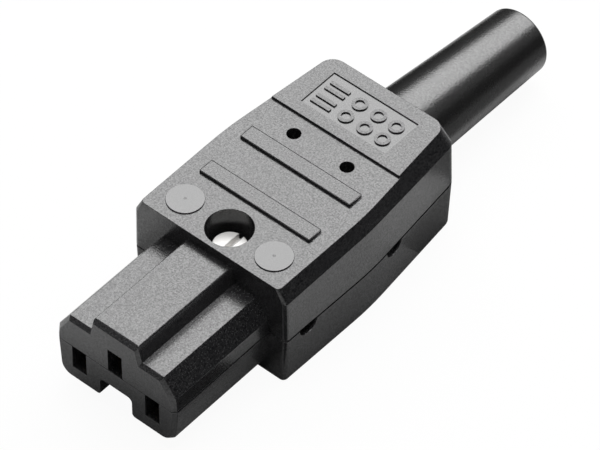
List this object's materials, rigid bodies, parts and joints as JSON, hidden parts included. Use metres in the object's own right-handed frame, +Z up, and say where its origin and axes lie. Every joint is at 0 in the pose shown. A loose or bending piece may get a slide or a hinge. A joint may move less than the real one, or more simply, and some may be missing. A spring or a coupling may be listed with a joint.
{
  "type": "rewireable appliance connector",
  "caption": "Straight rewireable appliance connector for hot-condition inlets: keyed nose, screw terminals and cord clamp in two shells, rubber bend sleeve.",
  "frame": {"origin": "middle of the connector's length and width, on the surface that it lies on", "axes": "+Y from the mating nose to the cord end, +X to the right seen from the nose, +Z up"},
  "size_m": [0.0298, 0.0924, 0.0198],
  "materials": {
    "shell_plastic": "moulded black thermoset, satin gloss",
    "sleeve_rubber": "smooth black rubber",
    "contact_brass": "bare stamped brass",
    "spring_steel": "spring steel",
    "clamp_nylon": "matt black nylon",
    "screw_nickel": "bright nickel plate"
  },
  "bodies": {
    "lower_half": {"lower_shell": "shell_plastic", "housing_nut": "screw_nickel", "bend_sleeve": "sleeve_rubber"},
    "upper_half": {"upper_shell": "shell_plastic", "line_contact": "contact_brass", "line_spring": "spring_steel", "line_terminal": "contact_brass", "neutral_contact": "contact_brass", "neutral_spring": "spring_steel", "neutral_terminal": "contact_brass", "earth_contact": "contact_brass", "earth_spring": "spring_steel", "earth_terminal": "contact_brass"},
    "housing_screw": {"housing_screw": "screw_nickel"},
    "line_screw": {"line_screw": "screw_nickel"},
    "neutral_screw": {"neutral_screw": "screw_nickel"},
    "earth_screw": {"earth_screw": "screw_nickel"},
    "cord_clamp": {"cord_clamp": "clamp_nylon"},
    "clamp_screw_left": {"clamp_screw_left": "screw_nickel"},
    "clamp_screw_right": {"clamp_screw_right": "screw_nickel"}
  },
  "joints": [
    {"name": "upper_half_lift", "type": "slide", "parent": "lower_half", "child": "upper_half", "axis": [0, 0, 1], "range_m": [0, 0.02]},
    {"name": "housing_screw_turn", "type": "hinge", "parent": "upper_half", "child": "housing_screw", "pos_m": [0, -0.0213, 0.0136], "axis": [0, 0, 1], "continuous": true},
    {"name": "line_screw_turn", "type": "hinge", "parent": "upper_half", "child": "line_screw", "pos_m": [0.007, -0.0122, 0.00895], "axis": [0, 0, 1], "continuous": true},
    {"name": "neutral_screw_turn", "type": "hinge", "parent": "upper_half", "child": "neutral_screw", "pos_m": [-0.007, -0.0122, 0.00895], "axis": [0, 0, 1], "continuous": true},
    {"name": "earth_screw_turn", "type": "hinge", "parent": "upper_half", "child": "earth_screw", "pos_m": [0, -0.0122, 0.00895], "axis": [0, 0, 1], "continuous": true},
    {"name": "cord_clamp_slide", "type": "slide", "parent": "upper_half", "child": "cord_clamp", "axis": [0, 0, -1], "range_m": [0, 0.0012]},
    {"name": "clamp_screw_left_turn", "type": "hinge", "parent": "cord_clamp", "child": "clamp_screw_left", "pos_m": [-0.0051, -0.0012, 0.0057], "axis": [0, 0, 1], "continuous": true},
    {"name": "clamp_screw_right_turn", "type": "hinge", "parent": "cord_clamp", "child": "clamp_screw_right", "pos_m": [0.0051, -0.0012, 0.0057], "axis": [0, 0, 1], "continuous": true}
  ]
}
